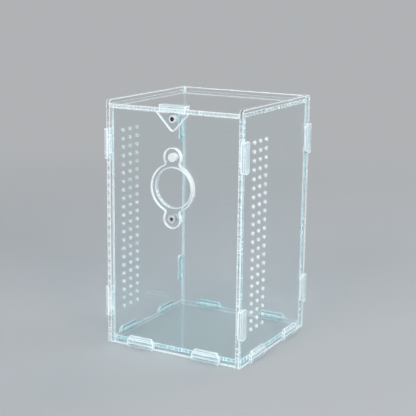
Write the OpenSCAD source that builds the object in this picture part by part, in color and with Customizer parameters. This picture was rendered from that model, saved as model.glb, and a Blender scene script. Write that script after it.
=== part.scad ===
// Clear sheet keeper box for small animals: five sheet panels, a hinged lid and a
// swinging port cover, joined by snap clips along the edges.
// Millimetres, Z up. X runs left to right, Y runs front to back.
// The keeper stands on the lips of its eight bottom clips at z = 0.

/* [Body] */
// Outside width over the side panels
body_width = 120; // [110:1:150]
// Outside depth along the side panels' edges
body_depth = 120; // [110:1:160]
// Height of the side and back panels
body_height = 200; // [180:1:260]
// Thickness of every sheet panel
sheet = 3; // [2.5:0.1:4]
// How far front, back and base sit in from the side panels' edges
recess = 3; // [2.8:0.1:4]
// Corner radius at the top of the side panels
top_radius = 3; // [1:0.5:5]
// Corner radius at the bottom of the side panels
foot_radius = 1.5; // [0.5:0.5:3]

/* [Vents] */
// Diameter of one vent hole
vent_dia = 2; // [1:0.1:3]
// Number of vent columns on each side panel
vent_cols = 3; // [1:1:5]
// Number of vent rows on each side panel
vent_rows = 22; // [1:1:24]
// Distance between vent columns
vent_col_pitch = 10; // [5:0.5:14]
// Distance between vent rows
vent_row_pitch = 7; // [4:0.1:7.2]
// Distance from the front edge to the first vent column
vent_inset = 21; // [16:0.5:24]

/* [Port] */
// Diameter of the hand port in the front panel
port_dia = 31; // [20:0.5:33]
// Height of the port's centre above the walls' bottom edge
port_height = 135.5; // [90:0.5:140]
// Diameter of the round part of the port cover
cover_dia = 38; // [36:0.5:42]
// Radius of the two round ears of the cover
ear_radius = 7.6; // [6.5:0.1:8.5]
// Distance from the cover's centre to each ear's centre
ear_offset = 24; // [22:0.1:24]
// Fillet radius where the ears meet the round part
ear_fillet = 2; // [1:0.1:3]

/* [Pivot] */
// Radius of the pivot screw's shank
screw_radius = 1.5; // [1.3:0.1:1.7]
// Radius of the screw's head
screw_head_radius = 2.9; // [2.7:0.1:3.3]
// Radius across the corners of the hex socket
socket_radius = 1.4; // [1:0.1:1.4]
// Radial clearance between the shank and the cover's bore
pivot_clearance = 0.08; // [0.03:0.01:0.1]
// Width across the flats of the nut
nut_width = 5.5; // [5:0.1:7]
// Thickness of the nut
nut_thickness = 2.4; // [1.6:0.1:3.2]

/* [Magnets] */
// Radius of the round magnets in the cover and the front panel
disc_magnet_radius = 3.5; // [2.5:0.1:4]
// Radius of the ring magnets in the lid tab and the front panel
ring_magnet_radius = 3; // [2.6:0.1:3.6]
// Radius of the ring magnets' hole
ring_hole_radius = 1.7; // [1:0.1:2]
// Distance of the ring magnets' centre below the lid's underside
ring_magnet_drop = 5.1; // [4.5:0.1:6.5]
// Radial clearance of every magnet in its hole
magnet_fit = 0.05; // [0.02:0.01:0.1]

/* [Lid] */
// How far the lid's top face lies below the top of the side panels
lid_drop = 3; // [2.5:0.1:5]
// Distance from the back panel's inner face to the hinge axis
hinge_setback = 2.5; // [2.5:0.1:5]
// Distance from the hinge axis to the lid's rear edge
lid_tail = 1.5; // [1:0.1:1.6]
// Radius of the round hinge pins on the lid
pin_radius = 1.3; // [1:0.05:1.4]
// Radial clearance of the hinge pins in the side panels
pin_clearance = 0.07; // [0.03:0.01:0.1]
// Width of the pull tab at its top
tab_width = 30; // [26:0.5:40]
// Height of the pull tab
tab_height = 14.5; // [13:0.5:20]
// Radius of the pull tab's tip
tab_tip_radius = 3; // [2:0.1:4]
// Width of the tongue that holds the tab in the lid
tab_tongue = 10; // [6:0.5:11]

/* [Clips] */
// Length of a clip
clip_length = 25; // [24:0.5:26]
// Width of a clip across its ribs
clip_width = 10; // [9.2:0.1:12]
// Thickness of a clip's bar
clip_thickness = 2.4; // [2:0.1:2.8]
// Thickness of the lip that wraps the panel's edge
clip_lip = 0.8; // [0.6:0.1:1.2]
// How far the lip reaches over the edge
clip_grip = 1.1; // [0.8:0.1:1.5]
// Distance of the corner clips' centre from the walls' top and bottom
clip_end_inset = 35.5; // [25:0.5:50]
// Distance of the bottom clips from the middle of their wall
clip_bottom_offset = 30; // [24:0.5:34]
// Length of the tenons that join two sheets under a clip
tenon_length = 15; // [12:0.5:17]
// How far a tenon stands out of the sheet it passes through
tenon_rise = 1.1; // [0.8:0.1:1.2]
// Clearance round a tenon in its slot and in its clip
slot_fit = 0.1; // [0.05:0.05:0.2]

/* [Clearances] */
// Running gap between parts that move past each other
run_gap = 0.3; // [0.25:0.05:0.4]

/* [Hidden] */
$fn = 48;
foot = clip_lip;
inner_half = body_width / 2 - sheet;
front_face = body_depth / 2 - recess;
back_inner = front_face - sheet;
seat = recess + sheet / 2;
lid_under = body_height - lid_drop - sheet;
lid_half = inner_half - run_gap;
lid_front = front_face + run_gap + sheet;
hinge_y = back_inner - hinge_setback;
hinge_z = lid_under + sheet / 2;
cover_face = run_gap + sheet;
pin_end = body_width / 2 - run_gap;
vent_low = (body_height - (vent_rows - 1) * vent_row_pitch) / 2;
ring_magnet_y = lid_under - ring_magnet_drop;
peg_half = 8;
peg_width = 3;
peg_inset = 3.8;
cut = 0.5;
sink = 2 * cut;
blend = 0.03;
countersink_gap = run_gap + 0.1;
cone_low = cover_face + run_gap - 0.4 - (screw_head_radius - screw_radius);

// Wall frames: x along the wall, y up from its bottom edge, z out of its outer face.
module on_front() {
  translate([0, -front_face, foot]) rotate([90, 0, 0]) children();
}

module on_back() {
  translate([0, front_face, foot]) rotate([90, 0, 180]) children();
}

module on_right() {
  translate([body_width / 2, 0, foot]) rotate([90, 0, 90]) children();
}

module on_left() {
  translate([-body_width / 2, 0, foot]) rotate([90, 0, -90]) children();
}

// Clip frames: x along the edge, y in from the edge, z out of the outer face.
module at_edge_plus(height) {
  translate([body_depth / 2, height, 0]) rotate([0, 0, 90]) children();
}

module at_edge_minus(height) {
  translate([-body_depth / 2, height, 0]) rotate([0, 0, -90]) children();
}

module at_bottom(along) {
  translate([along, 0, 0]) children();
}

// Upper and lower clip heights on the corners.
function upper_height() = body_height - clip_end_inset;
function lower_height() = clip_end_inset;

// Slot through the panel that carries the clip's bar.
module clip_slot() {
  translate([-tenon_length / 2 - slot_fit, seat - sheet / 2 - slot_fit, -sheet - cut])
    cube([tenon_length + 2 * slot_fit, sheet + 2 * slot_fit, sheet + sink]);
}

// Tenon on the edge of the panel that meets it, through the slot and into the clip.
module clip_tenon() {
  translate([-tenon_length / 2, seat - sheet / 2, -sheet - 1])
    cube([tenon_length, sheet, sheet + 1 + tenon_rise]);
}

// Ribbed bar with a lip that wraps the panel's edge.
module clip_bar(lip, grip) {
  far = clip_width - clip_lip;
  half = clip_length / 2;
  difference() {
    intersection() {
      rotate([90, 0, 90])
        linear_extrude(height = clip_length + 2, center = true)
          polygon([
            [-lip, -grip], [0, -grip], [0, 0], [far, 0],
            [far, clip_thickness - 1.3], [far - 1.8, clip_thickness],
            [0.5, clip_thickness], [-lip, clip_thickness - 1]
          ]);
      translate([0, 0, -grip - 1])
        linear_extrude(height = grip + clip_thickness + 2)
          polygon([
            [-half + 1.3, -lip - 1], [half - 1.3, -lip - 1], [half - 0.2, 2], [half, 3.4],
            [half, 4.4], [half - 0.7, 6], [half - 2.8, far + 0.2], [-half + 2.8, far + 0.2],
            [-half + 0.7, 6], [-half, 4.4], [-half, 3.4], [-half + 0.2, 2]
          ]);
    }
    for (i = [0 : 3])
      translate([-half + 2.5, 1.2 + 1.5 * i, clip_thickness - 0.5])
        cube([clip_length - 5, 0.7, 1]);
  }
}

// Clip with the socket that grips a tenon's end.
module clip() {
  difference() {
    clip_bar(clip_lip, clip_grip);
    translate([-tenon_length / 2 - slot_fit, seat - sheet / 2 - slot_fit, -cut])
      cube([tenon_length + 2 * slot_fit, sheet + 2 * slot_fit, tenon_rise + slot_fit + cut]);
  }
}

// Sheet outline with rounded top and bottom corners.
module sheet_outline(width, height, r_top, r_low) {
  translate([-width / 2, r_low]) square([width, height - r_low - r_top]);
  translate([-width / 2 + r_top, height / 2]) square([width - 2 * r_top, height / 2]);
  translate([-width / 2 + r_low, 0]) square([width - 2 * r_low, height / 2]);
  for (s = [-1, 1]) {
    translate([s * (width / 2 - r_top), height - r_top]) circle(r = r_top);
    translate([s * (width / 2 - r_low), r_low]) circle(r = r_low);
  }
}

// Side panel in its wall frame. front_dir is the side of x on which the front lies.
module side_sheet(front_dir) {
  difference() {
    translate([0, 0, -sheet])
      linear_extrude(height = sheet)
        difference() {
          sheet_outline(body_depth, body_height, top_radius, foot_radius);
          for (c = [0 : vent_cols - 1], r = [0 : vent_rows - 1])
            translate([
              front_dir * (body_depth / 2 - vent_inset - c * vent_col_pitch),
              vent_low + r * vent_row_pitch
            ]) circle(d = vent_dia, $fn = 24);
          translate([-front_dir * hinge_y, hinge_z])
            circle(r = pin_radius + pin_clearance);
        }
    for (y = [lower_height(), upper_height()]) {
      at_edge_plus(y) clip_slot();
      at_edge_minus(y) clip_slot();
    }
    for (x = [-1, 1])
      at_bottom(x * clip_bottom_offset) clip_slot();
  }
}

// Front or back panel in its wall frame: bottom slots, and tenons on both side edges.
module end_sheet(height) {
  difference() {
    translate([-inner_half, 0, -sheet]) cube([2 * inner_half, height, sheet]);
    for (x = [-1, 1])
      at_bottom(x * clip_bottom_offset) clip_slot();
  }
  for (s = [0, 1], y = [lower_height(), upper_height()])
    mirror([s, 0, 0])
      translate([body_width / 2, y, recess])
        rotate([0, 90, 0]) rotate([0, 0, -90]) clip_tenon();
}

module cover_outline() {
  big = cover_dia / 2 + ear_fillet;
  small = ear_radius + ear_fillet;
  fy = (big * big - small * small + ear_offset * ear_offset) / (2 * ear_offset);
  fx = sqrt(big * big - fy * fy);
  difference() {
    union() {
      circle(d = cover_dia, $fn = 96);
      for (s = [-1, 1]) {
        translate([0, s * ear_offset]) circle(r = ear_radius, $fn = 64);
        polygon([[0, 0], [s * fx, s * fy], [0, s * ear_offset], [-s * fx, s * fy]]);
      }
    }
    for (s = [-1, 1], q = [-1, 1])
      translate([q * fx, s * fy]) circle(r = ear_fillet + blend, $fn = 32);
  }
}

module tab_outline() {
  half = tab_width / 2;
  tip_y = lid_under - tab_height + tab_tip_radius;
  rise = lid_under - tip_y;
  reach = sqrt(half * half + rise * rise);
  inner = tab_tip_radius - blend;
  a = atan2(rise, half) - acos(inner / reach);
  polygon([
    [half, lid_under], [-half, lid_under],
    [-inner * cos(a), tip_y + inner * sin(a)],
    [inner * cos(a), tip_y + inner * sin(a)]
  ]);
  translate([0, tip_y]) circle(r = tab_tip_radius);
}

module disc_magnet() {
  cylinder(h = sheet, r = disc_magnet_radius - magnet_fit);
}

module ring_magnet() {
  difference() {
    cylinder(h = sheet, r = ring_magnet_radius - magnet_fit);
    translate([0, 0, -cut]) cylinder(h = sheet + sink, r = ring_hole_radius);
  }
}

module base_panel() {
  color([0.80, 0.90, 0.92, 0.4]) {
    translate([-inner_half, -back_inner, foot + recess])
      cube([2 * inner_half, 2 * back_inner, sheet]);
    for (x = [-1, 1]) {
      on_front() at_bottom(x * clip_bottom_offset) clip_tenon();
      on_back() at_bottom(x * clip_bottom_offset) clip_tenon();
      on_left() at_bottom(x * clip_bottom_offset) clip_tenon();
      on_right() at_bottom(x * clip_bottom_offset) clip_tenon();
    }
  }
}

module front_panel() {
  color([0.80, 0.90, 0.92, 0.4])
    on_front()
      difference() {
        end_sheet(lid_under - run_gap);
        translate([0, port_height, -sheet - cut])
          cylinder(h = sheet + sink, d = port_dia, $fn = 96);
        translate([0, port_height - ear_offset, -sheet - cut])
          cylinder(h = sheet + sink, r = screw_radius + magnet_fit);
        translate([0, port_height + ear_offset, -sheet - cut])
          cylinder(h = sheet + sink, r = disc_magnet_radius);
        translate([0, ring_magnet_y, -sheet - cut])
          cylinder(h = sheet + sink, r = ring_magnet_radius);
      }
}

module back_panel() {
  color([0.80, 0.90, 0.92, 0.4]) on_back() end_sheet(body_height);
}

module left_panel() {
  color([0.80, 0.90, 0.92, 0.4]) on_left() side_sheet(1);
}

module right_panel() {
  color([0.80, 0.90, 0.92, 0.4]) on_right() side_sheet(-1);
}

module lid_panel() {
  color([0.80, 0.90, 0.92, 0.4])
    difference() {
      union() {
        translate([-lid_half, -lid_front, foot + lid_under])
          cube([2 * lid_half, lid_front + hinge_y + lid_tail, sheet]);
        for (s = [0, 1])
          mirror([s, 0, 0])
            translate([lid_half - 2, hinge_y, foot + hinge_z])
              rotate([0, 90, 0]) cylinder(h = pin_end - lid_half + 2, r = pin_radius);
      }
      translate([-tab_tongue / 2, -lid_front - cut, foot + lid_under - cut])
        cube([tab_tongue, sheet + magnet_fit + cut, sheet + sink]);
      for (s = [0, 1])
        mirror([s, 0, 0])
          translate([peg_half - peg_width / 2, -lid_front + peg_inset, foot + lid_under - cut])
            cube([peg_width, sheet, sheet + sink]);
    }
}

module lid_tab() {
  color([0.80, 0.90, 0.92, 0.4])
    on_front()
      translate([0, 0, run_gap])
        difference() {
          linear_extrude(height = sheet) {
            tab_outline();
            translate([-tab_tongue / 2 + magnet_fit, lid_under - 1])
              square([tab_tongue - 2 * magnet_fit, sheet + 1 - magnet_fit]);
          }
          translate([0, ring_magnet_y, -cut])
            cylinder(h = sheet + sink, r = ring_magnet_radius);
        }
}

module lid_clip() {
  color([0.90, 0.93, 0.93, 0.8])
    translate([0, -lid_front, foot + lid_under + sheet]) {
      clip_bar(clip_lip - run_gap, sheet);
      for (s = [0, 1])
        mirror([s, 0, 0])
          translate([
            peg_half - peg_width / 2 + slot_fit,
            peg_inset + slot_fit,
            -sheet + 2 * slot_fit
          ]) cube([peg_width - 2 * slot_fit, sheet - 2 * slot_fit, sheet]);
    }
}

module tab_magnet() {
  color([0.75, 0.75, 0.77]) on_front() translate([0, ring_magnet_y, run_gap]) ring_magnet();
}

module catch_magnet() {
  color([0.75, 0.75, 0.77]) on_front() translate([0, ring_magnet_y, -sheet]) ring_magnet();
}

module port_cover() {
  color([0.80, 0.90, 0.92, 0.4])
    on_front()
      difference() {
        translate([0, port_height, run_gap])
          linear_extrude(height = sheet) cover_outline();
        translate([0, port_height + ear_offset, 0])
          cylinder(h = cover_face + cut, r = disc_magnet_radius);
        translate([0, port_height - ear_offset, 0])
          cylinder(h = cover_face + cut, r = screw_radius + pivot_clearance);
        translate([0, port_height - ear_offset, cone_low - countersink_gap])
          cylinder(
            h = cover_face + cut - cone_low + countersink_gap,
            r1 = screw_radius,
            r2 = screw_radius + cover_face + cut - cone_low + countersink_gap
          );
      }
}

module cover_magnet() {
  color([0.75, 0.75, 0.77])
    on_front() translate([0, port_height + ear_offset, run_gap]) disc_magnet();
}

module port_magnet() {
  color([0.75, 0.75, 0.77])
    on_front() translate([0, port_height + ear_offset, -sheet]) disc_magnet();
}

module pivot_screw() {
  head = screw_head_radius - screw_radius;
  head_top = cover_face + run_gap;
  tail = -sheet - nut_thickness - 0.6;
  color([0.62, 0.62, 0.64])
    on_front()
      translate([0, port_height - ear_offset, 0])
        difference() {
          union() {
            translate([0, 0, cone_low + head])
              cylinder(h = head_top - cone_low - head, r = screw_head_radius);
            translate([0, 0, cone_low])
              cylinder(h = head, r1 = screw_radius, r2 = screw_head_radius);
            translate([0, 0, tail]) cylinder(h = cone_low - tail, r = screw_radius);
          }
          translate([0, 0, head_top - 1.6])
            cylinder(h = 2, r = socket_radius, $fn = 6);
        }
}

module pivot_nut() {
  color([0.62, 0.62, 0.64])
    on_front()
      translate([0, port_height - ear_offset, -sheet - nut_thickness])
        difference() {
          cylinder(h = nut_thickness, r = nut_width / sqrt(3), $fn = 6);
          translate([0, 0, -cut])
            cylinder(h = nut_thickness + sink, r = screw_radius + magnet_fit);
        }
}

module clip_color() {
  color([0.90, 0.93, 0.93, 0.8]) children();
}

module clip_front_left_upper() { clip_color() on_left() at_edge_plus(upper_height()) clip(); }
module clip_front_left_lower() { clip_color() on_left() at_edge_plus(lower_height()) clip(); }
module clip_front_right_upper() { clip_color() on_right() at_edge_minus(upper_height()) clip(); }
module clip_front_right_lower() { clip_color() on_right() at_edge_minus(lower_height()) clip(); }
module clip_back_left_upper() { clip_color() on_left() at_edge_minus(upper_height()) clip(); }
module clip_back_left_lower() { clip_color() on_left() at_edge_minus(lower_height()) clip(); }
module clip_back_right_upper() { clip_color() on_right() at_edge_plus(upper_height()) clip(); }
module clip_back_right_lower() { clip_color() on_right() at_edge_plus(lower_height()) clip(); }
module clip_bottom_front_left() { clip_color() on_front() at_bottom(-clip_bottom_offset) clip(); }
module clip_bottom_front_right() { clip_color() on_front() at_bottom(clip_bottom_offset) clip(); }
module clip_bottom_back_left() { clip_color() on_back() at_bottom(clip_bottom_offset) clip(); }
module clip_bottom_back_right() { clip_color() on_back() at_bottom(-clip_bottom_offset) clip(); }
module clip_bottom_left_front() { clip_color() on_left() at_bottom(clip_bottom_offset) clip(); }
module clip_bottom_left_back() { clip_color() on_left() at_bottom(-clip_bottom_offset) clip(); }
module clip_bottom_right_front() { clip_color() on_right() at_bottom(-clip_bottom_offset) clip(); }
module clip_bottom_right_back() { clip_color() on_right() at_bottom(clip_bottom_offset) clip(); }

base_panel();
front_panel();
back_panel();
left_panel();
right_panel();
lid_panel();
lid_tab();
lid_clip();
tab_magnet();
catch_magnet();
port_cover();
cover_magnet();
port_magnet();
pivot_screw();
pivot_nut();
clip_front_left_upper();
clip_front_left_lower();
clip_front_right_upper();
clip_front_right_lower();
clip_back_left_upper();
clip_back_left_lower();
clip_back_right_upper();
clip_back_right_lower();
clip_bottom_front_left();
clip_bottom_front_right();
clip_bottom_back_left();
clip_bottom_back_right();
clip_bottom_left_front();
clip_bottom_left_back();
clip_bottom_right_front();
clip_bottom_right_back();
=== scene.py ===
import math

import bmesh
import bpy
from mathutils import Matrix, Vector


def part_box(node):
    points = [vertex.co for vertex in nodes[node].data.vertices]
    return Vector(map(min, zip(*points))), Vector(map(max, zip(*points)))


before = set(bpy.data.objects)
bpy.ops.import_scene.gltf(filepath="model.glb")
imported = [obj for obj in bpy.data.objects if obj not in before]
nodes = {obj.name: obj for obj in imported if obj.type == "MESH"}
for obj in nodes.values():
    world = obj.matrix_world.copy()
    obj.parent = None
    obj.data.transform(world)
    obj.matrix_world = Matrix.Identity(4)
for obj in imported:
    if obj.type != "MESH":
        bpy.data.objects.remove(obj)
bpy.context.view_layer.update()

scene = bpy.context.scene


# Sizes that the finishes follow, in metres; the ARRIS sizes are the reach of the painted corner
# highlights
SHEET_ARRIS = 0.0025
CLIP_ARRIS = 0.0026
METAL_ARRIS = 0.0016
METAL_BEVEL = 0.00015
WELD_DISTANCE = 0.000002
GROOVE_START = 0.00155
GROOVE_PITCH = 0.0015
RIB_ZONE = (0.0006, 0.0070)
HARDWARE_RIM = 0.00175
VENT_ZONE_Y = (-0.045, -0.012)
VENT_ZONE_Z = (0.02, 0.18)

# Painted shade inside a ring or a socket: its radius, and its depth from the piece's front
HOLLOWS = {
    "pivot_screw": (0.0015, 0.0018),
    "tab_magnet": (0.00175, 0.0031),
    "catch_magnet": (0.00175, 0.0031),
}

# Angles in degrees: the turns between the flats of a curved wall, and what counts as flat or sharp
CURVED_TURN = (1.5, 28.0)
FLAT_ANGLE = 0.6
SHARP_ANGLE = 32.0

SHEETS = ("left_panel", "right_panel", "front_panel", "back_panel", "base_panel", "lid_panel", "lid_tab",
          "port_cover")
FACE, CUT, VENT, PORT = range(4)

# A face of a sheet is a polygon that looks this nearly along the sheet's thin way
FACE_SHARE = 0.9

# The clear plastic: how it bends light, and how much of a lamp's light it lets through, in what tint
SHEET_IOR = 1.49
CLIP_IOR = 1.46
SHEET_PASS = 0.85
CLIP_PASS = 0.75
VENT_PASS = 0.35
SHEET_TINT = (0.88, 0.95, 0.96)
CLIP_TINT = (0.90, 0.96, 0.97)
# WHITE is also the colour of the painted corner highlights on the sheet faces
WHITE = (0.95, 0.99, 1.0)


class Graph:
    """A new material or world, and short ways to build its nodes."""

    def __init__(self, name, world=False):
        self.made = bpy.data.worlds.new(name) if world else bpy.data.materials.new(name)
        self.made.use_nodes = True
        self.tree = self.made.node_tree
        self.tree.nodes.clear()
        self.out = self.node("ShaderNodeOutputWorld" if world else "ShaderNodeOutputMaterial")

    def node(self, kind, **props):
        new = self.tree.nodes.new(kind)
        for key, value in props.items():
            setattr(new, key, value)
        return new

    def link(self, source, target):
        self.tree.links.new(source, target)

    def put(self, socket, value):
        """Links a socket, or sets a plain value."""
        if isinstance(value, bpy.types.NodeSocket):
            self.link(value, socket)
        else:
            socket.default_value = value

    def math(self, operation, *values, clamp=False):
        new = self.node("ShaderNodeMath", operation=operation, use_clamp=clamp)
        for socket, value in zip(new.inputs, values):
            self.put(socket, value)
        return new.outputs[0]

    def place(self, kind="Object"):
        """The x, y and z of a point, in metres or, for Generated, as shares of the piece's box."""
        coordinate = self.node("ShaderNodeTexCoord")
        split = self.node("ShaderNodeSeparateXYZ")
        self.link(coordinate.outputs[kind], split.inputs[0])
        return split.outputs

    def stretched(self, scale):
        """Object coordinates times a scale for each axis."""
        coordinate = self.node("ShaderNodeTexCoord")
        mapping = self.node("ShaderNodeMapping")
        self.link(coordinate.outputs["Object"], mapping.inputs["Vector"])
        mapping.inputs["Scale"].default_value = scale
        return mapping.outputs[0]

    def noise(self, scale, detail, rough, stretch=(1.0, 1.0, 1.0)):
        new = self.node("ShaderNodeTexNoise")
        new.inputs["Scale"].default_value = scale
        new.inputs["Detail"].default_value = detail
        new.inputs["Roughness"].default_value = rough
        self.link(self.stretched(stretch), new.inputs["Vector"])
        return new.outputs["Fac"]

    def grey(self, value, low, high, start=0.0, end=1.0):
        """Low where the value is at the start, high where it is at the end."""
        new = self.node("ShaderNodeMapRange", clamp=True)
        self.put(new.inputs["Value"], value)
        new.inputs["From Min"].default_value = start
        new.inputs["From Max"].default_value = end
        new.inputs["To Min"].default_value = low
        new.inputs["To Max"].default_value = high
        return new.outputs[0]

    def mix(self, share, first, second):
        new = self.node("ShaderNodeMix", data_type="RGBA")
        self.put(new.inputs[0], share)
        for socket, colour in ((new.inputs[6], first), (new.inputs[7], second)):
            self.put(socket, (*colour, 1.0) if isinstance(colour, tuple) else colour)
        return new.outputs[2]

    def bump(self, height, strength, distance):
        new = self.node("ShaderNodeBump")
        new.inputs["Strength"].default_value = strength
        new.inputs["Distance"].default_value = distance
        self.put(new.inputs["Height"], height)
        return new.outputs[0]

    def principled(self, **values):
        new = self.node("ShaderNodeBsdfPrincipled")
        for key, value in values.items():
            socket = new.inputs[key.replace("_", " ")]
            self.put(socket, (*value, 1.0) if isinstance(value, tuple) else value)
        return new

    def mix_shaders(self, share, first, second):
        new = self.node("ShaderNodeMixShader")
        self.put(new.inputs[0], share)
        self.link(first.outputs[0], new.inputs[1])
        self.link(second.outputs[0], new.inputs[2])
        return new

    def surface(self, shader):
        self.link(shader.outputs[0], self.out.inputs["Surface"])


def let_light_through(g, shader, tint, share):
    """Lamps shine through the clear plastic instead of leaving it a solid shadow."""
    path = g.node("ShaderNodeLightPath")
    clear = g.node("ShaderNodeBsdfTransparent")
    clear.inputs["Color"].default_value = (*tint, 1.0)
    return g.mix_shaders(g.math("MULTIPLY", path.outputs["Is Shadow Ray"], share), shader, clear)


def near_edge(g, reach):
    """1 on a sharp corner, falling to 0 about half the reach away from it: the mask of the painted
    corner highlights.
    """
    rounded = g.node("ShaderNodeBevel", samples=8)
    rounded.inputs["Radius"].default_value = reach
    flat = g.node("ShaderNodeNewGeometry")
    dot = g.node("ShaderNodeVectorMath", operation="DOT_PRODUCT")
    g.link(rounded.outputs[0], dot.inputs[0])
    g.link(flat.outputs["True Normal"], dot.inputs[1])
    return g.grey(g.math("ABSOLUTE", dot.outputs["Value"]), 1.0, 0.0, start=0.90, end=0.97)


def axis_and_radius(name):
    """Height of a round piece's axis, which runs front to back, and the piece's radius."""
    low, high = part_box(name)
    return (low.z + high.z) / 2, (high.z - low.z) / 2


def away_from_hardware(g):
    """0 on a sheet's face next to the magnets and the screw, which fill their holes, 1 elsewhere; it
    keeps the painted corner highlight off the holes' rims.
    """
    x, _, z = g.place()
    away = 1.0
    for name in ("cover_magnet", "pivot_screw", "tab_magnet"):
        height, radius = axis_and_radius(name)
        rise = g.math("SUBTRACT", z, height)
        squares = g.math("ADD", g.math("POWER", x, 2.0), g.math("POWER", rise, 2.0))
        outside = g.math("GREATER_THAN", g.math("SQRT", squares), radius + HARDWARE_RIM)
        away = g.math("MULTIPLY", away, outside)
    return away


def face_material():
    """Clear sheet seen through its polished faces: faint smears, a slight waviness, and a painted
    highlight on the corners.
    """
    g = Graph("clear_sheet_face")
    # Painted highlight: white and less clear along the sheet's corners, left off next to the hardware
    arris = g.math("MULTIPLY", near_edge(g, SHEET_ARRIS), away_from_hardware(g))
    wave = g.noise(scale=11.0, detail=2.0, rough=0.5)
    smear = g.noise(scale=26.0, detail=4.0, rough=0.65)
    smeared = g.grey(smear, 0.0, 0.035, start=0.45, end=0.8)
    clouds = g.noise(scale=8.0, detail=1.0, rough=0.5)
    body = g.mix(clouds, (0.950, 0.982, 0.990), (0.965, 0.988, 0.994))
    shader = g.principled(
        Base_Color=g.mix(arris, body, WHITE),
        Roughness=g.math("MAXIMUM", smeared, g.math("MULTIPLY", arris, 0.35)),
        IOR=SHEET_IOR,
        Transmission_Weight=g.grey(arris, 1.0, 0.12),
        Normal=g.bump(g.math("MULTIPLY", wave, 0.10), strength=0.22, distance=0.0003),
    )
    g.surface(let_light_through(g, shader, SHEET_TINT, SHEET_PASS))
    return g.made


def cut_material(name, axis, frost_low=0.30, frost_high=0.66, ticks=0.35):
    """Laser-cut edge: fine striations run through the sheet, with paler and clearer stretches, and a
    painted highlight along its corners.

    Frost is how white the striations are at least and at most, and ticks is how deep they bite
    into the painted corner highlight.
    """
    g = Graph(name)
    # Painted highlight along the edge's corners, with ticks bitten out of it by the striations
    arris = near_edge(g, SHEET_ARRIS)
    stretch = [480.0, 480.0, 480.0]
    stretch[axis] = 50.0
    stripes = g.noise(scale=1.0, detail=2.0, rough=0.6, stretch=stretch)
    patches = g.noise(scale=45.0, detail=2.0, rough=0.5)
    striped = g.grey(stripes, frost_low, frost_high, start=0.42, end=0.62)
    patched = g.grey(patches, 0.5 + frost_low / 2, 1.0, start=0.38, end=0.62)
    tick = g.grey(stripes, ticks, 0.0, start=0.36, end=0.46)
    notch = g.math("MULTIPLY", tick, g.grey(patches, 0.0, 1.0, start=0.45, end=0.56))
    corner = g.math("SUBTRACT", arris, notch, clamp=True)
    # Real frost of the striations, together with the painted corner highlight
    frost_and_highlight = g.math("MAXIMUM", g.math("MULTIPLY", striped, patched), corner)
    shader = g.principled(
        Base_Color=g.mix(frost_and_highlight, (0.64, 0.79, 0.83), (0.96, 0.99, 1.0)),
        Roughness=g.grey(stripes, 0.08, 0.34, start=0.3, end=0.7),
        IOR=SHEET_IOR,
        Transmission_Weight=g.grey(frost_and_highlight, 0.95, 0.12),
        Normal=g.bump(stripes, strength=0.10, distance=0.0003),
    )
    g.surface(let_light_through(g, shader, SHEET_TINT, SHEET_PASS))
    return g.made


def vent_material():
    """Walls of the small drilled vent holes: white and matt."""
    g = Graph("vent_wall")
    rings = g.noise(scale=1.0, detail=2.0, rough=0.6, stretch=(2400.0, 300.0, 300.0))
    shader = g.principled(
        Base_Color=g.mix(rings, (0.88, 0.95, 0.97), (0.97, 0.99, 1.0)),
        Roughness=g.grey(rings, 0.35, 0.6, start=0.3, end=0.7),
        IOR=SHEET_IOR,
        Transmission_Weight=0.05,
        Normal=g.bump(rings, strength=0.2, distance=0.0002),
    )
    g.surface(let_light_through(g, shader, WHITE, VENT_PASS))
    return g.made


def clip_material(name, axis, edge, length_axis, pitch=GROOVE_PITCH, both_edges=False):
    """Clear press-fit clip with painted highlights on its outline and in fine ribs between its moulded
    grooves.

    The grooves run along the clip. Axis and edge say where the edge of the panel lies that the clip
    wraps, and both_edges that the panel has a second one at minus edge. The pitch is the modelled
    grooves', or twice as much where they are too fine to tell apart.
    """
    g = Graph(name)
    place = g.place()[axis]
    if both_edges:
        depth = g.math("SUBTRACT", edge, g.math("ABSOLUTE", place))
    else:
        depth = g.math("SUBTRACT", place, edge)
    # Painted highlight: fine white ribs between the grooves, in the zone beside the panel's edge
    turn = g.math("MULTIPLY", g.math("SUBTRACT", depth, GROOVE_START), 2.0 * math.pi / pitch)
    wave = g.math("MULTIPLY", g.math("COSINE", turn), -1.0)
    low, high = RIB_ZONE
    inside = g.math("MULTIPLY", g.math("GREATER_THAN", depth, low), g.math("LESS_THAN", depth, high))
    rib = g.math("MULTIPLY", g.grey(wave, 0.0, 0.75, start=0.0, end=0.7), inside)
    # Painted highlight on the clip's outline, left off among the ribs except near the clip's ends
    middle = g.math("ABSOLUTE", g.math("SUBTRACT", g.place("Generated")[length_axis], 0.5))
    ends = g.grey(middle, 0.0, 1.0, start=0.40, end=0.455)
    plain = g.math("MAXIMUM", ends, g.math("SUBTRACT", 1.0, inside))
    outline = g.math("MULTIPLY", near_edge(g, CLIP_ARRIS), plain)
    cloud = g.noise(scale=160.0, detail=4.0, rough=0.6)
    fine = g.noise(scale=1600.0, detail=3.0, rough=0.6)
    haze = g.grey(cloud, 0.22, 0.40, start=0.35, end=0.65)
    # The painted highlights, together with the real haze of the plastic
    white = g.math("MAXIMUM", g.math("MAXIMUM", rib, outline), haze)
    shader = g.principled(
        Base_Color=g.mix(white, (0.76, 0.86, 0.90), (0.98, 1.0, 1.0)),
        Roughness=g.grey(fine, 0.06, 0.22, start=0.3, end=0.7),
        IOR=CLIP_IOR,
        Transmission_Weight=g.grey(white, 1.0, 0.04),
        Normal=g.bump(fine, strength=0.05, distance=0.0003),
    )
    g.surface(let_light_through(g, shader, CLIP_TINT, CLIP_PASS))
    return g.made


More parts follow.
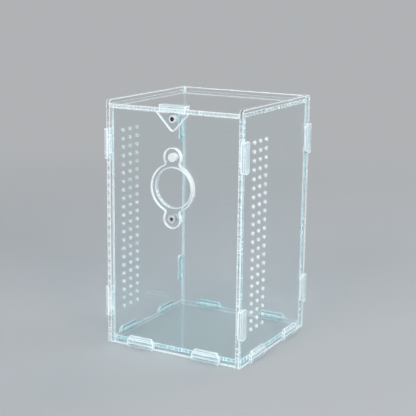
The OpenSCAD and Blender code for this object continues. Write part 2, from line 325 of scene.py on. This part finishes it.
def metal_material(name, dull, bright, rough, streak, metallic=0.35, edge_highlight=True):
    """Small turned metal part: brushed face, fine grime and, unless turned off, a painted highlight on
    its corners.
    """
    g = Graph(name)
    turned = g.noise(scale=1.0, detail=3.0, rough=0.6, stretch=streak)
    grime = g.noise(scale=480.0, detail=4.0, rough=0.6)
    colour = g.mix(grime, dull, bright)
    # Painted highlight: bright corners of the metal
    if edge_highlight:
        colour = g.mix(near_edge(g, METAL_ARRIS), colour, (0.95, 0.97, 0.98))
    smooth, coarse = rough
    g.surface(g.principled(
        Base_Color=colour,
        Metallic=metallic,
        Roughness=g.grey(turned, smooth, coarse, start=0.3, end=0.7),
        Normal=g.bump(turned, strength=0.25, distance=0.00015),
    ))
    return g.made


# The materials of this part
face = face_material()
cuts = [cut_material("sheet_cut_x", 0), cut_material("sheet_cut_y", 1), cut_material("sheet_cut_z", 2)]
cut_left = cut_material("sheet_cut_left", 0, frost_low=0.53, ticks=0.12)
cut_round = cut_material("sheet_cut_round", 1, frost_low=0.80, frost_high=0.88, ticks=0.0)
vent_wall = vent_material()

wall_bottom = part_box("front_panel")[0].z
side_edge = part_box("left_panel")[1].y
lid_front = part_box("lid_panel")[0].y
clip_low_x = clip_material("clip_low_x", 2, wall_bottom, 0, pitch=2 * GROOVE_PITCH)
clip_low_y = clip_material("clip_low_y", 2, wall_bottom, 1, pitch=2 * GROOVE_PITCH)
clip_tall = clip_material("clip_tall", 1, side_edge, 2, both_edges=True)
clip_lid = clip_material("clip_lid", 1, lid_front, 0)

plated = metal_material(
    "magnet_nickel",
    dull=(0.84, 0.88, 0.90),
    bright=(0.93, 0.95, 0.96),
    rough=(0.30, 0.55),
    streak=(700.0, 120.0, 700.0),
)
ring = metal_material(
    "magnet_ring_nickel",
    dull=(0.62, 0.65, 0.67),
    bright=(0.84, 0.87, 0.89),
    rough=(0.22, 0.42),
    streak=(500.0, 200.0, 500.0),
)
steel = metal_material(
    "screw_steel",
    dull=(0.30, 0.32, 0.34),
    bright=(0.58, 0.60, 0.62),
    rough=(0.20, 0.42),
    streak=(900.0, 250.0, 900.0),
)
# Near-black metal that paints shade into the holes and the socket listed in HOLLOWS
hollow = metal_material(
    "metal_hollow_shade",
    dull=(0.05, 0.05, 0.055),
    bright=(0.14, 0.14, 0.15),
    rough=(0.30, 0.55),
    streak=(900.0, 250.0, 900.0),
    metallic=1.0,
    edge_highlight=False,
)


def is_round(mesh):
    """Which faces belong to a curved wall, told by the small turn to a neighbour."""
    bm = bmesh.new()
    bm.from_mesh(mesh)
    bmesh.ops.remove_doubles(bm, verts=bm.verts, dist=WELD_DISTANCE)
    least, most = (math.radians(angle) for angle in CURVED_TURN)
    found = set()
    for edge in bm.edges:
        if len(edge.link_faces) == 2 and least < edge.calc_face_angle(0.0) < most:
            for one in edge.link_faces:
                found.add(tuple(round(v, 6) for v in one.calc_center_median()))
    bm.free()
    return [tuple(round(v, 6) for v in poly.center) in found for poly in mesh.polygons]


def soften(obj):
    """Real arrises aren't razor sharp: a small bevel catches the light."""
    weld = obj.modifiers.new("weld", "WELD")
    weld.merge_threshold = WELD_DISTANCE
    flat = obj.modifiers.new("flat", "DECIMATE")
    flat.decimate_type = "DISSOLVE"
    flat.angle_limit = math.radians(FLAT_ANGLE)
    bevel = obj.modifiers.new("arris", "BEVEL")
    bevel.width = METAL_BEVEL
    bevel.segments = 2
    bevel.limit_method = "ANGLE"
    bevel.angle_limit = math.radians(SHARP_ANGLE)
    bevel.use_clamp_overlap = False


def between(value, limits):
    """Whether the value lies inside a pair of limits."""
    low, high = limits
    return low < value < high


def dress_sheet(name, mesh, curved_faces):
    """Clear faces, cut edges, white vents and the port's calmer wall."""
    low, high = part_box(name)
    thin = min(range(3), key=lambda axis: high[axis] - low[axis])
    special = {"lid_tab": cut_round, "port_cover": cut_round, "left_panel": cut_left}
    for mat in (face, special.get(name, cuts[thin]), vent_wall, cut_round):
        mesh.materials.append(mat)
    for poly, curved in zip(mesh.polygons, curved_faces):
        in_vents = between(poly.center[1], VENT_ZONE_Y) and between(poly.center[2], VENT_ZONE_Z)
        if abs(poly.normal[thin]) > FACE_SHARE:
            poly.material_index = FACE
        elif curved and thin == 0 and in_vents:
            poly.material_index = VENT
        elif curved and name == "front_panel":
            poly.material_index = PORT
        else:
            poly.material_index = CUT


def dress_clip(name, mesh):
    """The ribs of each clip follow the edge that it wraps."""
    if name == "lid_clip":
        mat = clip_lid
    elif name.startswith(("clip_bottom_front", "clip_bottom_back")):
        mat = clip_low_x
    elif name.startswith("clip_bottom"):
        mat = clip_low_y
    else:
        mat = clip_tall
    mesh.materials.append(mat)


def dress_metal(name, mesh):
    """Bright disc magnets, greyer rings and steel for the screw and the nut, with painted shade in the
    rings' holes and the screw's socket.
    """
    if name in ("cover_magnet", "port_magnet"):
        mesh.materials.append(plated)
    else:
        mesh.materials.append(ring if name.endswith("_magnet") else steel)
    # Painted shade: the faces inside the hole or socket get the near-black metal
    if name in HOLLOWS:
        mesh.materials.append(hollow)
        radius, depth = HOLLOWS[name]
        height, _ = axis_and_radius(name)
        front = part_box(name)[0].y
        for poly in mesh.polygons:
            off = math.hypot(poly.center[0], poly.center[2] - height)
            if off < radius and poly.center[1] < front + depth:
                poly.material_index = 1


# Every CAD node gets its finish, and each small metal part a fine bevel too
for name, obj in nodes.items():
    mesh = obj.data
    mesh.materials.clear()
    curved_faces = is_round(mesh)
    for poly, curved in zip(mesh.polygons, curved_faces):
        poly.use_smooth = curved
    if name in SHEETS:
        dress_sheet(name, mesh, curved_faces)
    elif "clip" in name:
        dress_clip(name, mesh)
    else:
        dress_metal(name, mesh)
        soften(obj)


# Stage: floor, lamps and surroundings, in metres
GROUND = (0.435, 0.447, 0.460)
GROUND_RINGS = (0.3, 0.8, 1.6, 3.0, 6.0)
GROUND_SIDES = 96
GROUND_FADE = (0.18, 1.10)
LAMP_AIM = (0.0, 0.0, 0.1)
SKY = (0.80, 0.85, 0.90)
SKY_STRENGTH = 0.48


def seen(g):
    """1 for rays that show the surroundings: straight, mirrored or through glass."""
    path = g.node("ShaderNodeLightPath")
    total = g.math("ADD", path.outputs["Is Camera Ray"], path.outputs["Is Glossy Ray"])
    return g.math("ADD", total, path.outputs["Is Transmission Ray"], clamp=True)


def ground_material():
    """Pale studio floor: it takes the shadow near the object and fades to one even tone."""
    g = Graph("ground_grey")
    patches = g.noise(scale=7.0, detail=2.0, rough=0.5)
    colour = g.mix(patches, (0.485, 0.498, 0.512), (0.500, 0.513, 0.527))
    lit = g.principled(Base_Color=colour, Roughness=0.7, Specular_IOR_Level=0.0)
    even = g.node("ShaderNodeEmission")
    even.inputs["Color"].default_value = (*GROUND, 1.0)
    geometry = g.node("ShaderNodeNewGeometry")
    far = g.node("ShaderNodeVectorMath", operation="LENGTH")
    g.link(geometry.outputs["Position"], far.inputs[0])
    fade = g.node("ShaderNodeMapRange", clamp=True, interpolation_type="SMOOTHERSTEP")
    g.link(far.outputs["Value"], fade.inputs["Value"])
    fade.inputs["From Min"].default_value, fade.inputs["From Max"].default_value = GROUND_FADE
    g.surface(g.mix_shaders(g.math("MULTIPLY", fade.outputs[0], seen(g)), lit, even))
    return g.made


def ground():
    """A flat disc of rings."""
    bm = bmesh.new()
    rows = []
    for radius in GROUND_RINGS:
        row = []
        for k in range(GROUND_SIDES):
            turn = 2 * math.pi * k / GROUND_SIDES
            row.append(bm.verts.new((radius * math.cos(turn), radius * math.sin(turn), 0.0)))
        rows.append(row)
    bm.faces.new(rows[0])
    for inner, outer in zip(rows, rows[1:]):
        for k in range(GROUND_SIDES):
            after = (k + 1) % GROUND_SIDES
            bm.faces.new((inner[k], outer[k], outer[after], inner[after]))
    mesh = bpy.data.meshes.new("ground")
    bm.to_mesh(mesh)
    bm.free()
    mesh.materials.append(ground_material())
    obj = bpy.data.objects.new("ground", mesh)
    scene.collection.objects.link(obj)


def area_lamp(name, place, size, power):
    """A soft lamp that lights the object but isn't seen itself, except in mirrored light."""
    data = bpy.data.lights.new(name, "AREA")
    data.shape = "RECTANGLE"
    data.size, data.size_y = size
    data.energy = power
    obj = bpy.data.objects.new(name, data)
    scene.collection.objects.link(obj)
    obj.location = place
    obj.rotation_euler = (Vector(LAMP_AIM) - Vector(place)).to_track_quat("-Z", "Y").to_euler()
    obj.visible_camera = False
    obj.visible_transmission = False


def studio_world():
    """Even soft light from all round, and the ground's own tone behind everything."""
    g = Graph("studio", world=True)
    light = g.node("ShaderNodeBackground")
    light.inputs["Color"].default_value = (*SKY, 1.0)
    light.inputs["Strength"].default_value = SKY_STRENGTH
    behind = g.node("ShaderNodeBackground")
    behind.inputs["Color"].default_value = (*GROUND, 1.0)
    g.surface(g.mix_shaders(seen(g), light, behind))
    scene.world = g.made


ground()
area_lamp("key_light", (-0.15, -1.75, 1.05), (0.9, 0.9), 16.0)
area_lamp("fill_light", (1.7, -0.9, 0.75), (1.0, 1.0), 24.0)
area_lamp("rim_light", (0.3, 1.1, 1.4), (1.2, 0.6), 8.0)
studio_world()


# Camera, fitted to the photo: focal length in pixels, place in metres, angles in degrees
PHOTO_PIXELS = 416
FOCAL_PIXELS = 1037.9
SENSOR_MM = 36.0
CAMERA_PLACE = (0.40094, -0.7263, 0.29832)
CAMERA_TILT = 77.176
CAMERA_ROLL = -0.672
CAMERA_TURN = 29.145
CLIP_RANGE = (0.01, 30.0)


def camera():
    """The photo's viewing angle and framing."""
    data = bpy.data.cameras.new("camera")
    data.sensor_width = SENSOR_MM
    data.lens = SENSOR_MM * FOCAL_PIXELS / PHOTO_PIXELS
    data.clip_start, data.clip_end = CLIP_RANGE
    obj = bpy.data.objects.new("camera", data)
    scene.collection.objects.link(obj)
    obj.location = CAMERA_PLACE
    obj.rotation_euler = [math.radians(angle) for angle in (CAMERA_TILT, CAMERA_ROLL, CAMERA_TURN)]
    scene.camera = obj


camera()
scene.view_settings.view_transform = "Standard"

# Light passes many clear walls before it leaves the box
scene.cycles.max_bounces = 32
scene.cycles.transmission_bounces = 32
scene.cycles.transparent_max_bounces = 24
